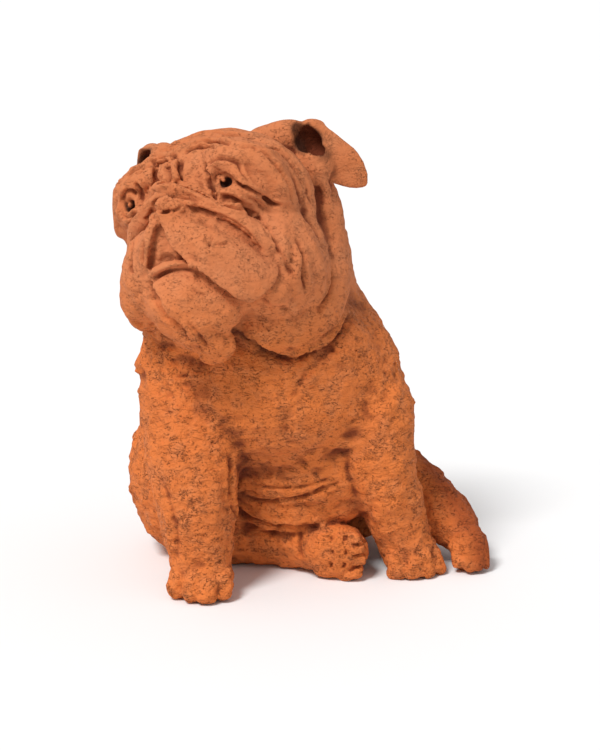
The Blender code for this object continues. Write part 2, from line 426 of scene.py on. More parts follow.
def lowered(side, line):
    """The right side's folds round the eye sit a little lower than the left's."""
    if side == LEFT:
        return line
    drops = [RIGHT_BROW_DROP * min(max((up - DROP_FROM) / DROP_RISE, 0), 1) for _, _, up in line]
    return [(left, forward, up - drop) for (left, forward, up), drop in zip(line, drops)]


def face_folds(clay, side):
    """Thinner rolls round the eye, over the forehead and down the cheek."""
    for radius, line in (
        (7, [(22, 66, 60), (44, 74, 58), (62, 71, 54), (74, 66, 48), (82, 60, 41), (87, 53, 32), (91, 46, 23),
             (91, 39, 14)]),
        (5, [(20, 52, 79), (52, 69, 68), (70, 66, 61), (82, 58, 54), (89, 52, 46), (93, 44, 35), (95, 35, 25),
             (94, 27, 16), (89, 16, 9)]),
        (6, [(45, 49, 78), (67, 44, 70), (79, 35, 62), (88, 23, 53), (94, 14, 42), (96, 7, 31), (95, 0, 21)]),
        (5, [(93, -24, 52), (97, -24, 42), (96, -34, 31), (95, -40, 17)]),
        (5, [(45, 75, 18), (58, 73, 17), (68, 64, 13), (73, 48, 7)]),
        (4, [(51, 75, 11), (61, 63, 8), (70, 51, 0), (78, 48, -10)]),
        (6, [(84, 38, -5), (87, 43, -24), (88, 47, -43), (84, 46, -57)]),
        (6.5, [(94, 35, -35), (94, 35, -48), (90, 35, -60), (87, 29, -72)]),
        (8.5, [(93, 21, -14), (98, 17, -28), (99, 8, -42), (97, 0, -56), (91, -6, -68), (84, -4, -78)]),
    ):
        tapered(clay, mirrored(side, lowered(side, line)), radius)
    for radius, line in (
        (5, [(36, 76, 38), (38, 78, 45), (48, 79, 48), (57, 77, 46), (63, 75, 39), (69, 74, 30), (74, 70, 22),
             (78, 60, 17)]),
        (3.6, [(43, 79, 22), (50, 78, 20), (57, 76, 21), (65, 76, 23)]),
    ):
        tapered(clay, mirrored(side, line), radius)


def lips(clay):
    """Hanging edges of the upper lip on both sides of the open mouth."""
    line = [(1, 110, 2), (1, 105, -11), (5, 99, -24), (17, 97, -36), (28, 95, -46), (38, 91, -54),
            (46, 83, -63), (56, 74, -70), (67, 66, -72)]
    tapered(clay, line, 8)
    line = [(9, 103, -6), (23, 97, -19), (42, 92, -34), (56, 84, -47), (67, 72, -59)]
    limb(clay, HEAD, line, [8, 14, 16, 14, 9])
    line = [(5, 99, -3), (19, 90, -3), (37, 82, -11), (54, 73, -23), (67, 62, -38)]
    limb(clay, HEAD, line, [8, 9, 9, 8, 6])
    tapered(clay, [(-8, 109, 2), (-11, 107, -10), (-20, 103, -21), (-26, 100, -35), (-28, 96, -48)], 7)
    limb(clay, HEAD, [(-5, 106, -3), (-9, 103, -14), (-12, 100, -25), (-15, 96, -36)], [7, 8, 7.5, 6])
    tapered(clay, [(-27, 93, -52), (-27, 92, -63), (-20, 92, -76), (-16, 86, -88), (-9, 80, -99)], 8)
    limb(clay, HEAD, [(-34, 88, -12), (-46, 88, -30), (-48, 88, -46), (-46, 82, -60)], [9, 13, 13, 11])


def chin(clay):
    egg(clay, HEAD, (0, 72, -64), (48, 32, 26))
    egg(clay, HEAD, (2, 62, -86), (44, 30, 24))
    limb(clay, HEAD, [(0, 58, -82), (3, 48, -98), (8, 44, -111)], [36, 30, 20])


def lower_lip(clay):
    """Thin lip curling up over the chin."""
    line = [(-27, 99, -50), (-20, 101, -45), (-10, 103, -40), (0, 104, -38), (11, 103, -40), (19, 100, -45)]
    limb(clay, HEAD, line, [3, 3.4, 3.6, 3.6, 3.4, 3])
    line = [(-24, 96, -53), (-16, 98, -49), (-4, 100, -45), (10, 99, -46), (20, 96, -51)]
    limb(clay, HEAD, line, [3.4, 4, 4, 4, 3.4])


def dewlap(clay):
    """Lobe of skin hanging from the chin."""
    tapered(clay, [(13, 72, -104), (11, 57, -114), (12, 52, -121)], 13)


def eyelids(clay, side):
    egg(clay, HEAD, (side * 54, 56, 26), (28, 22, 20))


def ear(clay, side):
    """Cupped ear that rises from the top of the head, with a flap that folds over and hangs outwards."""
    roots = [18, 16, 12] if side == LEFT else [9, 10, 10]
    limb(clay, HEAD, perked(side, [(54, -4, 80), (74, -14, 86), (88, -22, 84)]), roots)
    egg(clay, HEAD, *perked(side, [(91, -26, 68)]), (19, 20, 34))
    flap = [[(89, -6, 92), (96, -14, 95), (99, -24, 92)],
            [(98, -12, 83), (106, -20, 82), (114, -35, 81)],
            [(92, -18, 69), (111, -32, 65), (125, -49, 68)],
            [(88, -26, 56), (111, -42, 49), (129, -58, 52)],
            [(94, -38, 40), (111, -52, 33), (130, -66, 30)]]
    sheet(clay, HEAD, [perked(side, row) for row in flap], EAR_SHEET)


def hollows(clay):
    """What is pressed in: eye sockets, ears, the open mouth and the recess under the jaw."""
    for side in (LEFT, RIGHT):
        left, up = EYE_PLACES[side]
        egg(clay, HEAD, (left + 3 * side, 80, up), EYE_SOCKETS[side])
        limb(clay, HEAD, perked(side, EAR_HOLLOW), EAR_HOLLOW_RADII)
        limb(clay, HEAD, perked(side, [(91, -18, 84), (94, -27, 72), (97, -34, 61)]), [9, 11, 6])
    limb(clay, HEAD, [(-7, 106, -31), (-5, 101, -35), (-3, 99, -38)], [3, 5, 5])
    limb(clay, HEAD, [(-15, 103, -40), (-9, 101, -38), (-1, 101, -36)], [3, 4, 4])
    limb(clay, HEAD, JAW_RECESS, JAW_RECESS_RADII)


def eyeball(clay, side):
    left, up = EYE_PLACES[side]
    egg(clay, HEAD, (left, 63, up), (13, 11.5, 11))


def pupil(clay, side):
    """Hole drilled in the eyeball; the nub left standing in it catches the light."""
    left, up = EYE_PLACES[side]
    egg(clay, HEAD, (left, 76, up), PUPILS[side])


def pupil_nub(clay, side):
    left, up = EYE_PLACES[side]
    limb(clay, HEAD, [(left - 1.5, 73, up + 2), (left - 1.5, 56, up + 2)], [1.9, 2.4])


def form(name, *builders):
    """Object whose mesh holds the forms that the builders lay down."""
    clay = bmesh.new()
    for build in builders:
        build(clay)
    mesh = bpy.data.meshes.new(name)
    clay.to_mesh(mesh)
    clay.free()
    return placed(name, mesh)


def blend(made, cell, softening):
    """Makes one closed skin of the overlapping forms and softens the seams between them."""
    remesh = made.modifiers.new("one skin", "REMESH")
    remesh.mode = "VOXEL"
    remesh.voxel_size = cell
    smooth = made.modifiers.new("softened seams", "SMOOTH")
    smooth.factor = 0.5
    smooth.iterations = softening


def evaluated(made):
    """Mesh of the object as its modifiers leave it."""
    graph = bpy.context.evaluated_depsgraph_get()
    return bpy.data.meshes.new_from_object(made.evaluated_get(graph))


def carve(made, cutter, name):
    cutting = made.modifiers.new(name, "BOOLEAN")
    cutting.operation = "DIFFERENCE"
    cutting.solver = "EXACT"
    cutting.object = cutter


def folds(clay):
    belly(clay)
    tail(clay)
    chin(clay)
    for side in (LEFT, RIGHT):
        jowls(clay, side)
        brow(clay, side)
        eyelids(clay, side)


def details(clay):
    paws(clay)
    nose(clay)
    frown(clay)
    lips(clay)
    lower_lip(clay)
    dewlap(clay)
    for side in (LEFT, RIGHT):
        face_folds(clay, side)
        ear(clay, side)


def on_both_sides(builder):
    return lambda clay: [builder(clay, side) for side in (LEFT, RIGHT)]


def built_up(name, base, builders, cell, softening):
    """Adds forms to the skin made so far, and makes them one skin with it."""
    made = form(name, lambda clay: clay.from_mesh(base), *builders)
    blend(made, cell, softening)
    return made


def smooth_skin():
    """Mesh of the whole dog before its surface is worked."""
    masses = form("masses", trunk, shoulders_and_haunches, front_legs, hind_legs, skull)
    blend(masses, MASS_CELL, MASS_SOFTENING)
    folded = built_up("folds", evaluated(masses), [folds], FOLD_CELL, FOLD_SOFTENING)
    dog = built_up("dog", evaluated(folded), [details], DETAIL_CELL, DETAIL_SOFTENING)
    cutter = form("hollows", hollows)
    blend(cutter, DETAIL_CELL, 1)
    carve(dog, cutter, "hollows")
    seeing = built_up("eyes", evaluated(dog), [on_both_sides(eyeball)], DETAIL_CELL, 1)
    drill = form("pupils", on_both_sides(pupil))
    blend(drill, EYE_CELL, 1)
    nub = form("nubs", on_both_sides(pupil_nub))
    blend(nub, EYE_CELL, 1)
    carve(drill, nub, "nubs")
    carve(seeing, drill, "pupils")
    blend(seeing, DETAIL_CELL, 0)
    mesh = evaluated(seeing)
    for used in (masses, folded, dog, cutter, seeing, drill, nub):
        bpy.data.objects.remove(used)
    return mesh


class Skin:
    """Points of the skin, with the rise of each along its normal that the next press will give."""

    def __init__(self, mesh):
        self.mesh = mesh
        self.rise = np.zeros(len(mesh.vertices))
        self.read()

    def read(self):
        self.points = points_of(self.mesh)
        self.normals = normals_of(self.mesh)
        self.finder = kdtree.KDTree(len(self.points))
        for i, place in enumerate(self.points):
            self.finder.insert(place, i)
        self.finder.balance()
        faces = [face.vertices for face in self.mesh.polygons]
        self.faces = BVHTree.FromPolygons(self.points.tolist(), faces)

    def press(self):
        """Moves the points by the rises gathered so far."""
        self.points += self.normals * self.rise[:, None]
        move_points(self.mesh, self.points)
        self.rise[:] = 0
        self.read()

    def near(self, place, reach):
        return np.array([found[1] for found in self.finder.find_range(place, reach)], int)

    def nearest(self, place):
        return self.finder.find(place)[1]


def spaced(line, step):
    """Points a step apart along a smooth curve through the line's points."""
    line = np.array(line, float)
    padded = np.vstack([2 * line[0] - line[1], line, 2 * line[-1] - line[-2]])
    fine = []
    for a, b, c, d in zip(padded, padded[1:], padded[2:], padded[3:]):
        t = np.linspace(0, 1, 12, endpoint=False)[:, None]
        fine.append(0.5 * (2 * b + (c - a) * t + (2 * a - 5 * b + 4 * c - d) * t ** 2
                           + (3 * b - a - 3 * c + d) * t ** 3))
    fine = np.vstack(fine + [line[-1:]])
    along = np.concatenate([[0], np.cumsum(np.linalg.norm(np.diff(fine, axis=0), axis=1))])
    at = np.linspace(0, along[-1], max(int(along[-1] / step), 2) + 1)
    return np.stack([np.interp(at, along, fine[:, axis]) for axis in range(3)], 1)


class Track:
    """Line drawn onto the skin as it is looked at, with how each point of the skin lies beside it."""

    def __init__(self, skin, frame, line, look, reach):
        way = (frame.to_3x3() @ spot(*look)).normalized()
        places = []
        for place in spaced([frame @ spot(*point) for point in line], LINE_STEP):
            met = skin.faces.ray_cast(Vector(place) - way * LINE_OFF, way, LINE_REACH)[0]
            places.append(met if met else skin.points[skin.nearest(place)])
        places = np.array(places)
        middle = places.mean(0)
        self.ids = skin.near(middle, np.linalg.norm(places - middle, axis=1).max() + reach)
        gaps = np.linalg.norm(skin.points[self.ids][:, None, :] - places[None], axis=2)
        nearest = gaps.argmin(1)
        self.gap = gaps.min(1)
        along = nearest / (len(places) - 1)
        self.taper = np.clip(np.minimum(along, 1 - along) / LINE_FADE, 0, 1) ** LINE_FADE_POWER
        travel = np.gradient(places, axis=0)[nearest]
        to_left = np.cross(-np.array(way), travel)
        self.on_left = ((skin.points[self.ids] - places[nearest]) * to_left).sum(1) > 0


def stroke(skin, frame, line, depth, width, look=HEAD_LOOK):
    """Groove drawn along a line on the skin, with its clay pushed up on both sides.
    A depth below zero lays a ridge."""
    track = Track(skin, frame, line, look, 3.2 * width)
    groove = np.exp(-(track.gap / width) ** 2)
    banks = BANK_SHARE * np.exp(-((track.gap - BANK_OFFSET * width) / (BANK_WIDTH * width)) ** 2)
    skin.rise[track.ids] += CREASE_SHARE * depth * track.taper * (banks - groove)


def overlap(skin, frame, line, raised, body, sunk, gutter, look=HEAD_LOOK):
    """Edge of a fold of skin: what lies to the left of the line, seen from outside, hangs over what lies
    to its right."""
    track = Track(skin, frame, line, look, 2.4 * max(body, gutter))
    over = raised * np.exp(-(track.gap / body) ** 2)
    under = -sunk * np.exp(-(track.gap / gutter) ** 2)
    skin.rise[track.ids] += track.taper * np.where(track.on_left, over, under)


def mirrored_look(side):
    across, forward, up = HEAD_LOOK
    return side * across, forward, up


def head_overlaps(skin):
    """Folds of the face that lie over one another."""
    for raised, body, sunk, gutter, line in (
        # the roll over the nose: its lower edge, then its upper one
        (3, 8, 4.5, 6, [(20, 104, 9), (24, 92, 7), (32, 87, 4), (50, 80, -6), (66, 74, -20), (76, 64, -39),
                        (80, 60, -45)]),
        (3.5, 8, 6, 5, [(87, 56, -36), (83, 59, -27), (74, 55, -12), (63, 60, 1), (51, 80, 8), (36, 88, 19),
                        (19, 94, 30), (6, 95, 36)]),
        # the brow, and two folds outside it
        (3.5, 9, 7, 3.0, [(94, 33, 8), (96, 43, 21), (92, 54, 37), (84, 62, 50), (79, 65, 55), (64, 73, 60)]),
        (3.0, 7, 6.5, 2.8, [(91, 6, 12), (95, 14, 30), (91, 26, 44), (85, 35, 56), (83, 58, 58),
                            (63, 67, 68)]),
        (2.6, 7, 5.5, 2.8, [(94, -14, 7), (95, 4, 18), (98, 11, 33), (92, 21, 54), (78, 33, 71),
                            (68, 42, 76)]),
        # the bag of the cheek
        (3, 9, 8, 3.4, [(88, -12, -84), (96, -21, -66), (98, -21, -44), (101, -11, -36), (103, 2, -30)]),
        # the hanging upper lip's rounded end
        (2, 14, 3, 6, [(67, 62, -80), (76, 63, -76), (83, 59, -68), (84, 52, -58), (84, 54, -49)]),
    ):
        for side in (LEFT, RIGHT):
            way = mirrored(side, lowered(side, line))[::side]
            overlap(skin, HEAD, way, raised, body, sunk, gutter, mirrored_look(side))
    for raised, body, sunk, gutter, line in (
        # the left upper lid
        (3, 6, 2.5, 3, [(38, 75, 38), (43, 75, 40), (51, 75, 40), (58, 74, 36), (64, 75, 29), (71, 73, 23)]),
        # the roll where it arches over the nose
        (3.5, 8, 7, 6, [(6, 95, 36), (-14, 85, 40), (-28, 77, 40), (-43, 76, 28)]),
        # upper lip on the left, then on the right
        (5, 22, 9, 9, [(-1, 116, 6), (-1, 112, -3), (2, 108, -16), (4, 102, -26), (11, 100, -35),
                       (17, 99, -43), (27, 99, -50), (39, 93, -62), (49, 80, -74), (55, 61, -80),
                       (67, 62, -80), (76, 63, -76)]),
        (4, 14, 6, 8, [(-25, 100, -45), (-23, 104, -36), (-19, 106, -26), (-13, 109, -16), (-6, 112, -4)]),
        # left jowl over the neck
        (4, 16, 6, 8, [(26, 39, -101), (38, 12, -115), (51, -17, -125), (63, -25, -123), (74, -35, -118),
                       (82, -46, -110), (87, -58, -97), (85, -79, -79)]),
        # chin, and the dewlap below it
        (5, 20, 9, 8, [(-23, 100, -52), (-19, 101, -61), (-11, 103, -71), (-8, 99, -81), (-5, 93, -91),
                       (0, 89, -99), (0, 84, -106), (1, 78, -112)]),
        (4, 15, 8, 10, [(17, 47, -128), (25, 46, -121), (27, 47, -112), (30, 56, -104)]),
    ):
        overlap(skin, HEAD, line, raised, body, sunk, gutter)


def head_creases(skin):
    """Creases that part the folds of the face."""
    for depth, width, line in (
        # over the left eye, twice down its inner side, and out from its corner
        (5.0, 2.0, [(33, 77, 47), (39, 78, 51), (49, 78, 52), (58, 76, 49), (64, 73, 44), (68, 72, 35),
                    (74, 70, 25)]),
        (7.5, 2.3, [(29, 75, 53), (32, 76, 43), (34, 76, 33), (39, 81, 23), (44, 83, 15)]),
        (5.0, 1.8, [(40, 75, 39), (39, 75, 30), (43, 83, 17)]),
        (6.0, 2.0, [(59, 74, 30), (64, 74, 26), (69, 73, 22), (74, 66, 17), (76, 53, 14), (81, 45, 8),
                    (88, 40, 6)]),
        # the roll over the nose, above and below
        (6.0, 2.4, [(83, 59, -27), (74, 55, -12), (63, 60, 1), (51, 80, 8), (36, 88, 19), (19, 94, 30),
                    (6, 95, 36), (-14, 85, 40), (-28, 77, 40), (-43, 76, 28)]),
        (4.5, 2.2, [(20, 104, 9), (24, 92, 7), (32, 87, 4), (50, 80, -6), (66, 74, -20), (76, 64, -39)]),
        # round the right eye
        (5.0, 2.2, [(-45, 79, 36), (-50, 78, 41), (-58, 77, 41), (-65, 75, 35)]),
        (5.0, 2.2, [(-46, 80, 21), (-52, 79, 17), (-60, 77, 17), (-66, 75, 23)]),
    ):
        stroke(skin, HEAD, line, depth, width)
    for depth, width, line in (
        # under the eyes
        (4.5, 3.0, [(45, 80, 16), (53, 74, 14), (61, 65, 9)]),
        (3.5, 2.2, [(67, 68, 13), (70, 55, 10), (73, 48, 3)]),
        # forehead
        (7.0, 2.5, [(7, 61, 76), (16, 56, 79), (34, 59, 74), (58, 73, 65)]),
        (7.0, 2.7, [(-14, 34, 93), (5, 37, 93), (22, 37, 90), (51, 51, 78), (68, 43, 74)]),
        (6.0, 2.3, [(4, 69, 67), (10, 65, 71), (19, 62, 72), (42, 74, 65)]),
        # cheek
        (5.0, 6.0, [(91, 9, 9), (94, 6, 0), (99, 0, -11), (101, -4, -23)]),
        (4.5, 3.2, [(96, 36, -27), (98, 31, -33), (99, 28, -42), (97, 28, -55), (94, 21, -67),
                    (91, 13, -75)]),
        (4.5, 3.6, [(68, 61, -81), (65, 46, -84)]),
        (3.0, 3.2, [(73, 34, -86), (73, 21, -90)]),
        (3.0, 3.4, [(89, -12, -83), (88, -15, -90)]),
        (3.2, 2.2, [(83, 57, -26), (87, 55, -35), (90, 51, -47), (90, 41, -57), (91, 32, -65)]),
    ):
        for side in (LEFT, RIGHT):
            stroke(skin, HEAD, mirrored(side, lowered(side, line)), depth, width, mirrored_look(side))
    for depth, width, line in (
        # frown
        (6.0, 2.6, [(-27, 68, 62), (-25, 74, 53), (-22, 78, 42)]),
        (6.0, 2.8, [(-8, 77, 57), (-5, 83, 47), (4, 97, 35)]),
        (5.5, 2.5, [(5, 75, 61), (6, 82, 49), (11, 93, 36)]),
        (5.0, 2.4, [(-44, 51, 78), (-27, 60, 73), (-10, 67, 69), (0, 77, 61)]),
        (4.0, 1.7, [(-42, 59, 68), (-31, 65, 65), (-22, 70, 61)]),
        (4.5, 2.0, [(-46, 80, 48), (-39, 82, 39), (-42, 75, 31)]),
        # nose: the curl, the end of its pad, the wing and the groove under it
        (9.0, 1.7, [(9, 109, 13.5), (6.5, 110, 16.5), (1.5, 113, 15.5), (-1, 113, 11), (0.5, 112, 6),
                    (5, 110, 4.5), (9, 108, 6.5)]),
        (3.5, 1.5, [(19, 103, 10), (15, 104, 6.5), (9, 107, 5)]),
        (4.0, 1.8, [(-8, 115, 13), (-3, 113, 18), (9, 111, 17.5), (18, 108, 14), (23, 100, 9)]),
        (4.0, 1.7, [(-8, 115, 13), (-13, 113, 7), (-33, 87, 8)]),
        (4.0, 1.8, [(-8, 116, 11), (-8, 115, 5), (-8, 112, 0)]),
        # lower lip and the crease under it
        (-5.5, 3.1, [(-27, 100, -49), (-17, 100, -45), (-8, 99, -43), (3, 99, -43), (17, 98, -45),
                     (26, 99, -50)]),
        (2.5, 1.7, [(-14, 107, -53), (-6, 111, -51), (3, 111, -49), (14, 108, -49), (21, 103, -51),
                    (28, 99, -54)]),
        # chin
        (2.5, 1.8, [(19, 101, -65), (23, 99, -72), (30, 94, -76)]),
        (3.5, 2.4, [(5, 91, -96), (10, 83, -105), (9, 67, -116), (9, 60, -121)]),
        # right upper lip and jowl
        (4.5, 2.0, [(-49, 82, -3), (-50, 85, -13), (-43, 102, -32), (-44, 101, -45)]),
        (4.0, 2.0, [(-24, 106, -15), (-27, 106, -26), (-30, 103, -38)]),
        (5.0, 6.0, [(-25, 99, -56), (-20, 101, -69), (-16, 99, -80), (-14, 91, -91)]),
        # torn star on the lip
        (3.0, 1.4, [(33, 93, -24), (37, 92, -31), (43, 92, -38)]),
        (3.0, 1.4, [(43, 92, -22), (38, 92, -30), (33, 93, -36)]),
        (3.0, 1.4, [(37, 92, -30), (48, 88, -31), (55, 84, -30)]),
    ):
        stroke(skin, HEAD, line, depth, width)


def body_creases(skin):
    """Creases of the belly, neck and legs, and the dimples of the turned-up sole."""
    for depth, width, line in (
        (6.0, 3.0, [(-67, 103, 92), (-60, 38, 63), (-50, 37, 57), (-28, 42, 50), (0, 50, 51), (20, 52, 55)]),
        (4.5, 2.8, [(-60, 40, 83), (-45, 47, 78), (-25, 55, 80), (0, 64, 86), (15, 68, 93), (39, 66, 103)]),
        (3.0, 2.4, [(-49, 56, 97), (-25, 63, 95), (0, 69, 98), (24, 69, 105), (41, 68, 114)]),
        (4.5, 4.5, [(-134, 110, 120), (-127, 118, 100), (-121, 122, 76), (-119, 121, 53), (-123, 114, 37)]),
        (3.5, 4.0, [(-8, 108, 199), (0, 107, 214), (11, 103, 229), (25, 96, 239), (38, 85, 248)]),
        (2.5, 7.0, [(-11, 108, 192), (-15, 104, 171), (-17, 94, 148)]),
        (3.0, 4.0, [(44, 73, 137), (47, 68, 111), (55, 58, 82)]),
        (4.0, 3.5, [(-68, 96, 142), (-67, 98, 120), (-67, 103, 96)]),
        (-2.5, 6.0, [(-83, 114, 129), (-80, 119, 101), (-82, 123, 72)]),
        (3.0, 3.0, [(-135, 75, 218), (-120, 84, 214), (-106, 86, 217)]),
        (3.5, 2.6, [(1, 46, 45), (-1, 50, 32), (1, 50, 17)]),
    ):
        stroke(skin, BODY, line, depth, width, BODY_LOOK)
    for left, up in ((30, 46), (44, 46), (31, 32), (45, 32), (30, 18), (43, 17)):
        stroke(skin, BODY, [(left, 70, up + 3.5), (left, 72, up - 3.5)], 4.5, 2.2, BODY_LOOK)
    for up in (15, 27, 38.5):
        stroke(skin, BODY, [(50, 71, up), (57, 68, up), (66, 59, up)], 4.5, 1.8, BODY_LOOK)


def pellets(skin):
    """Small pellets of clay pressed on: each one low on one side, with a torn step on the other."""
    chance = np.random.default_rng(PELLET_SEED)
    up = np.array([0.0, 0.0, 1.0])
    for centre in chance.integers(len(skin.points), size=PELLET_COUNT):
        long = PELLET_LENGTH * chance.uniform(0.7, 1.6)
        wide = long * chance.uniform(0.35, 0.7)
        lift = PELLET_HEIGHT * chance.uniform(0.4, 1.3)
        turn = radians(chance.normal(0, 35))
        normal = skin.normals[centre]
        level = np.cross(up, normal)
        length = np.linalg.norm(level)
        if length < 0.2:
            level = np.array([1.0, 0.0, 0.0]) - normal * normal[0]
            length = np.linalg.norm(level)
        level /= length
        slope = np.cross(normal, level)
        ahead = level * cos(turn) + slope * sin(turn)
        across = np.cross(normal, ahead)
        ids = skin.near(skin.points[centre], long)
        gap = skin.points[ids] - skin.points[centre]
        u = gap @ ahead / long
        v = gap @ across / wide
        inside = np.clip(1 - u ** 2 - v ** 2, 0, 1)
        facing_same = skin.normals[ids] @ normal > 0.3
        skin.rise[ids] += lift * inside ** 0.35 * (0.45 - 0.55 * v) * facing_same * (inside > 0)


def noise(points, size, seed):
    """Smooth random value between -1 and 1 at each point, with lumps of about the size."""
    cells = 48
    table = np.random.default_rng(seed).uniform(-1, 1, (cells, cells, cells))
    at = points / size
    low = np.floor(at).astype(int)
    part = at - low
    part = part * part * (3 - 2 * part)
    total = np.zeros(len(points))
    for corner in np.ndindex(2, 2, 2):
        weight = np.prod(np.where(corner, part, 1 - part), axis=1)
        i, j, k = ((low + corner) % cells).T
        total += weight * table[i, j, k]
    return total


def on_head(points):
    """Share from 0 on the body to 1 on the head, whose clay is worked more finely."""
    return np.clip((points[:, 2] - NECK_LOW) / (NECK_HIGH - NECK_LOW), 0, 1)


def work_surface(skin):
    """Unevenness of hand-pressed clay and its pellets, which are fainter on the head."""
    strength = 1 - 0.52 * on_head(skin.points)
    broad = noise(skin.points, size=22, seed=1)
    small = noise(skin.points * (1, 1, 1.7), size=9, seed=2)
    skin.rise += strength * (1.2 * broad + 0.8 * small)
    before = skin.rise.copy()
    pellets(skin)
    skin.rise = before + strength * (skin.rise - before)
    skin.press()


def tear_surface(skin):
    """Pits where the clay is torn."""
    rough = np.clip(noise(skin.points, size=30, seed=4) + 0.4, 0, 1) * (1 - 0.4 * on_head(skin.points))
    torn = np.clip(noise(skin.points * (1, 1, 1.8), size=4.4, seed=5) - 0.34, 0, 1)
    skin.rise -= 3.6 * rough * torn
    skin.press()


def settled(mesh):
    """The mesh made one closed, evenly spaced skin again after it was pressed."""
    holder = placed("settled", mesh)
    blend(holder, DETAIL_CELL, 0)
    done = evaluated(holder)
    bpy.data.objects.remove(holder)
    return done


def in_face(mesh):
    """Which points belong to the face, whose finest creases are kept."""
    _, forward, up = from_head(points_of(mesh))
    return (forward > FACE_FROM) & (up > FACE_LOWEST)


def thinned(mesh):
    """The mesh brought under its limit of triangles, of which the face gives up none."""
    holder = placed("thinned", mesh)
    elsewhere = holder.vertex_groups.new(name="elsewhere")
    elsewhere.add(np.flatnonzero(~in_face(mesh)).tolist(), 1, "ADD")
    thin = holder.modifiers.new("facets", "DECIMATE")
    thin.vertex_group = elsewhere.name
    triangles = 2 * len(mesh.polygons)
    thin.ratio = TRIANGLE_LIMIT / triangles
    done = evaluated(holder)
    bpy.data.objects.remove(holder)
    return done


def drop_specks(mesh):
    """Leaves only the largest connected skin, without the specks that the cutting and thinning set free."""
    clay = bmesh.new()
    clay.from_mesh(mesh)
    unseen = set(clay.verts)
    islands = []
    while unseen:
        border = [unseen.pop()]
        island = []
        while border:
            point = border.pop()
            island.append(point)
            for edge in point.link_edges:
                other = edge.other_vert(point)
                if other in unseen:
                    unseen.remove(other)
                    border.append(other)
        islands.append(island)
    islands.sort(key=len)
    specks = [point for island in islands[:-1] for point in island]
    bmesh.ops.delete(clay, geom=specks, context="VERTS")
    clay.to_mesh(mesh)
    clay.free()


def cavities(mesh):
    """How deep each point lies below its near and its wider neighbourhood, in parts, for the finish to paint
    shade by.
    """
    points, normals = points_of(mesh), normals_of(mesh)
    count = len(points)
    edges = np.empty(len(mesh.edges) * 2, np.int32)
    mesh.edges.foreach_get("vertices", edges)
    a, b = edges.reshape(-1, 2).T
    linked = np.bincount(a, minlength=count) + np.bincount(b, minlength=count)

    def spread(values):
        return (np.bincount(a, values[b], count) + np.bincount(b, values[a], count)) / linked

    mean = points.T.copy()
    for name, rounds, softening in (("cavity", 6, 2), ("hollow", 60, 4)):
        for _ in range(rounds):
            mean = np.stack([spread(axis) for axis in mean])
        depth = ((mean.T - points) * normals).sum(1)
        for _ in range(softening):
            depth = 0.5 * depth + 0.5 * spread(depth)
        keep_value(mesh, name, depth)


def unlit(mesh):
    """Where hardly any light comes, in the pupils, the ears and the recess under the jaw, for the finish."""
    left, forward, up = from_head(points_of(mesh))
    dark = np.zeros(len(left))

    def along(line, radii, margin):
        """Share from 1 inside a bar along the line to 0 a margin outside it."""
        share = np.zeros(len(left))
        for (across, ahead, above), radius in zip(line, radii):
            apart = np.sqrt((left - across) ** 2 + (forward - ahead) ** 2 + (up - above) ** 2)
            share = np.maximum(share, np.clip((radius + margin - apart) / margin, 0, 1))
        return share

    for side in (LEFT, RIGHT):
        eye_left, eye_up = EYE_PLACES[side]
        in_eye = ((left - eye_left) / 10) ** 2 + ((up - eye_up) / 9) ** 2 < 1
        dark = np.maximum(dark, in_eye * np.clip((73 - forward) / 3, 0, 1) * (forward > 55))
        dark = np.maximum(dark, 0.8 * along(perked(side, EAR_HOLLOW), EAR_HOLLOW_RADII, 4))
    dark = np.maximum(dark, 0.55 * along(JAW_RECESS, JAW_RECESS_RADII, 9))
    keep_value(mesh, "unlit", dark)


def eased(depth):
    """Depths inside a wall of the box, squeezed together near the wall so that nothing passes it."""
    squeezed = EDGE_EASING * np.exp(np.minimum(depth / EDGE_EASING - 1, 0))
    return np.where(depth < EDGE_EASING, squeezed, depth)


def standing(mesh, middle):
    """Brings the skin to its real size inside the part's own box, flat where it meets the ground."""
    points = (points_of(mesh) - middle) * PART
    low, high = np.array(cad_low), np.array(cad_high)
    points = high - eased(high - points)
    points[:, :2] = low[:2] + eased(points[:, :2] - low[:2])
    points[:, 2] = np.maximum(points[:, 2], low[2])
    move_points(mesh, points)


def middle_of(mesh):
    """Middle of the skin's box, on the ground."""
    points = points_of(mesh)
    middle = (points.min(0) + points.max(0)) / 2
    middle[2] = 0
    return middle


def bulldog_piece():
    """The dog's skin at its real size: built up, worked, creased, torn, and thinned."""
    mesh = smooth_skin()
    middle = middle_of(mesh)
    skin = Skin(mesh)
    work_surface(skin)
    head_overlaps(skin)
    skin.press()
    skin = Skin(settled(mesh))
    head_creases(skin)
    body_creases(skin)
    skin.press()
    tear_surface(skin)
    mesh = thinned(skin.mesh)
    drop_specks(mesh)
    cavities(mesh)
    unlit(mesh)
    standing(mesh, middle)
    mesh.shade_smooth()
    mesh.name = "bulldog_skin"
    return placed("bulldog_skin", mesh)


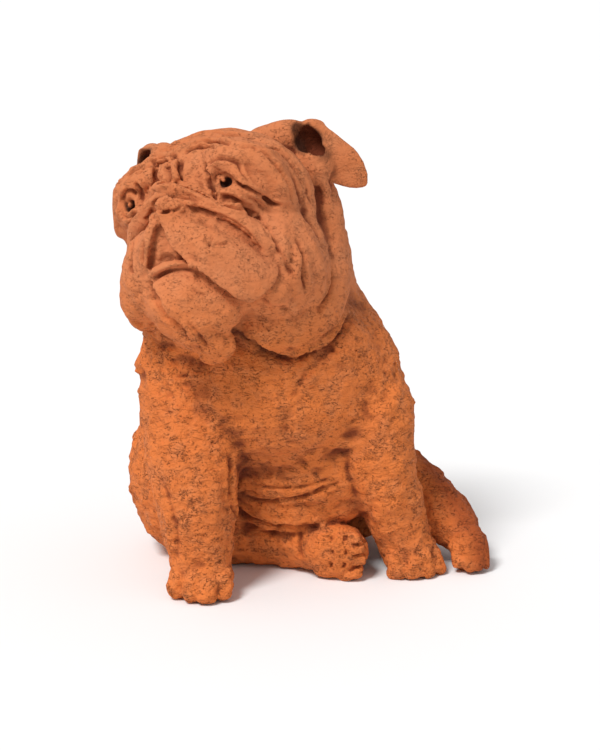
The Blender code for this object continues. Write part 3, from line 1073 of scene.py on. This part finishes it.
def terracotta():
    """Rough fired clay: mottled, with painted shade in its creases, hollows, pits and cracks, and fine relief
    of its own.
    """
    material = bpy.data.materials.new("terracotta")
    material.use_nodes = True
    nodes, links = material.node_tree.nodes, material.node_tree.links
    shader = nodes["Principled BSDF"]
    shader.inputs["Roughness"].default_value = 0.88
    shader.inputs["Specular IOR Level"].default_value = 0.25
    place = nodes.new("ShaderNodeTexCoord")

    def plug(socket, value):
        if isinstance(value, bpy.types.NodeSocket):
            links.new(value, socket)
        else:
            socket.default_value = value

    def field(where, scale, detail, roughness, distortion=0.0):
        made = nodes.new("ShaderNodeTexNoise")
        made.inputs["Scale"].default_value = scale
        made.inputs["Detail"].default_value = detail
        made.inputs["Roughness"].default_value = roughness
        made.inputs["Distortion"].default_value = distortion
        links.new(where, made.inputs["Vector"])
        return made.outputs["Fac"]

    def mottling(scale, detail, roughness):
        return field(place.outputs["Object"], scale, detail, roughness)

    def stretched(scale, flatness):
        """Mottling with lumps that are wider than they are tall."""
        flat = nodes.new("ShaderNodeVectorMath")
        flat.operation = "MULTIPLY"
        flat.inputs[1].default_value = (1, 1, flatness)
        links.new(place.outputs["Object"], flat.inputs[0])
        return field(flat.outputs[0], scale, 3, 0.55, distortion=0.6)

    def mixed(factor, first, second):
        made = nodes.new("ShaderNodeMix")
        made.data_type = "RGBA"
        plug(made.inputs[0], factor)
        plug(made.inputs[6], first)
        plug(made.inputs[7], second)
        return made.outputs[2]

    def ramp(value, low, high, start=0.0, end=1.0):
        made = nodes.new("ShaderNodeMapRange")
        made.inputs["From Min"].default_value = low
        made.inputs["From Max"].default_value = high
        made.inputs["To Min"].default_value = start
        made.inputs["To Max"].default_value = end
        links.new(value, made.inputs["Value"])
        return made.outputs["Result"]

    def maths(operation, first, second):
        made = nodes.new("ShaderNodeMath")
        made.operation = operation
        plug(made.inputs[0], first)
        plug(made.inputs[1], second)
        return made.outputs[0]

    def kept(name):
        """Value stored at the skin's points under a name."""
        made = nodes.new("ShaderNodeAttribute")
        made.attribute_name = name
        return made.outputs["Fac"]

    def bump(value, strength, distance, before=None, inverted=False):
        made = nodes.new("ShaderNodeBump")
        made.inputs["Strength"].default_value = strength
        made.inputs["Distance"].default_value = distance
        made.invert = inverted
        links.new(value, made.inputs["Height"])
        if before:
            links.new(before, made.inputs["Normal"])
        return made.outputs["Normal"]

    def cracks(scale, width, spread):
        """Thin broken lines where the clay is torn, longer than they are tall."""
        off = maths("ABSOLUTE", maths("SUBTRACT", stretched(scale, 1.9), 0.5), 0)
        line = ramp(off, 0, width, 1, 0)
        return maths("MULTIPLY", line, ramp(mottling(scale * 0.55, 2, 0.5), spread, spread + 0.06))

    axes = nodes.new("ShaderNodeSeparateXYZ")
    links.new(place.outputs["Object"], axes.inputs[0])
    along_x, along_y, height = axes.outputs["X"], axes.outputs["Y"], axes.outputs["Z"]
    head_share = ramp(height, 0.24, 0.30)

    def fainter_on_head(value, share):
        """The value, and only a share of it on the head."""
        return maths("MULTIPLY", value, ramp(head_share, 0, 1, 1, share))

    colour = mixed(ramp(height, 0.24, 0.33), BODY_CLAY, HEAD_CLAY)
    colour = mixed(ramp(mottling(14, 3, 0.5), 0.4, 0.7, 0, 0.5), colour, DULL_CLAY)
    colour = mixed(ramp(mottling(60, 4, 0.6), 0.45, 0.75, 0, 0.35), colour, PALE_CLAY)
    aside = maths("ADD", along_x, maths("MULTIPLY", along_y, 0.6))
    # the hind leg is darkened: partly its own darker clay, partly painted shade from the body standing in its
    # light
    hind_leg = maths("MULTIPLY", ramp(aside, 0.126, 0.146), ramp(height, 0.10, 0.13, 1, 0))
    colour = mixed(maths("MULTIPLY", hind_leg, 0.8), colour, HIND_LEG_CLAY_AND_SHADE)
    # painted shade: the deeper a point lies in a crease, the darker its colour
    colour = mixed(ramp(kept("cavity"), 0.12, 1.3, 0, 0.85), colour, PAINTED_CREASE_SHADE)
    # painted shade: broad hollows, such as the ears and under the jaw, are coloured darker
    colour = mixed(ramp(kept("hollow"), 1.0, 8.0, 0, 0.8), colour, PAINTED_HOLLOW_SHADE)
    colour = mixed(kept("unlit"), colour, UNLIT_CLAY)
    pitted = ramp(mottling(24, 2, 0.5), 0.42, 0.6)
    pits = maths("MULTIPLY", ramp(mottling(420, 4, 0.65), 0.60, 0.68), pitted)
    tears = maths("MAXIMUM", cracks(110, 0.020, 0.54), cracks(230, 0.028, 0.55))
    marks = maths("MAXIMUM", fainter_on_head(pits, 0.8), fainter_on_head(tears, 0.36))
    # painted shade in the pits and cracks, which the bump below also sinks
    colour = mixed(maths("MULTIPLY", marks, 0.65), colour, PAINTED_CRACK_SHADE)
    links.new(colour, shader.inputs["Base Color"])

    ledges = ramp(stretched(55, 3.2), 0.44, 0.56)
    patchy = ramp(mottling(20, 2, 0.5), 0.4, 0.6)
    worked = bump(fainter_on_head(maths("MULTIPLY", ledges, patchy), 0), 0.6, 0.0018)
    lumps = bump(fainter_on_head(stretched(115, 1.6), 0.45), 0.85, 0.0052, worked)
    grain = bump(mottling(260, 6, 0.65), 0.7, 0.0014, lumps)
    links.new(bump(marks, 0.9, 0.0018, grain, inverted=True), shader.inputs["Normal"])
    return material


def camera():
    eye = bpy.data.cameras.new("camera")
    eye.sensor_fit = "VERTICAL"
    eye.sensor_height = SENSOR_MM
    eye.lens = SENSOR_MM * CAMERA_DISTANCE / VIEW_HEIGHT_PX
    holder = placed("camera", eye)
    tilt = radians(CAMERA_ELEVATION)
    back = Vector((0, -cos(tilt), sin(tilt)))
    holder.location = (CAMERA_AIM + back * CAMERA_DISTANCE) * PART
    holder.rotation_euler = (pi / 2 - tilt, 0, 0)
    bpy.context.scene.camera = holder


def studio():
    """Pale floor and white surroundings, with a broad soft light from the upper left."""
    mesh = bpy.data.meshes.new("floor")
    half = FLOOR_HALF
    places = [(-half, -half, 0), (half, -half, 0), (half, half, 0), (-half, half, 0)]
    mesh.from_pydata(places, [], [(0, 1, 2, 3)])
    floor = placed("floor", mesh)
    pale = bpy.data.materials.new("pale_floor")
    pale.use_nodes = True
    shader = pale.node_tree.nodes["Principled BSDF"]
    shader.inputs["Base Color"].default_value = FLOOR_GREY
    shader.inputs["Roughness"].default_value = 0.9
    mesh.materials.append(pale)
    world = bpy.data.worlds.new("surroundings")
    world.use_nodes = True
    sky = world.node_tree.nodes["Background"]
    sky.inputs["Color"].default_value = (1, 1, 1, 1)
    sky.inputs["Strength"].default_value = SKY_STRENGTH
    bpy.context.scene.world = world
    lamp = bpy.data.lights.new("key", "SUN")
    lamp.energy = SUN_STRENGTH
    lamp.angle = radians(SUN_SPREAD_DEGREES)
    holder = placed("key", lamp)
    holder.rotation_euler = SUN_WAY.to_track_quat("-Z", "Y").to_euler()


camera()
studio()
bpy.context.scene.view_settings.view_transform = "Standard"

bulldog = bulldog_piece()
bulldog.data.materials.clear()
bulldog.data.materials.append(terracotta())
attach(bulldog, "root")
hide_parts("bulldog")
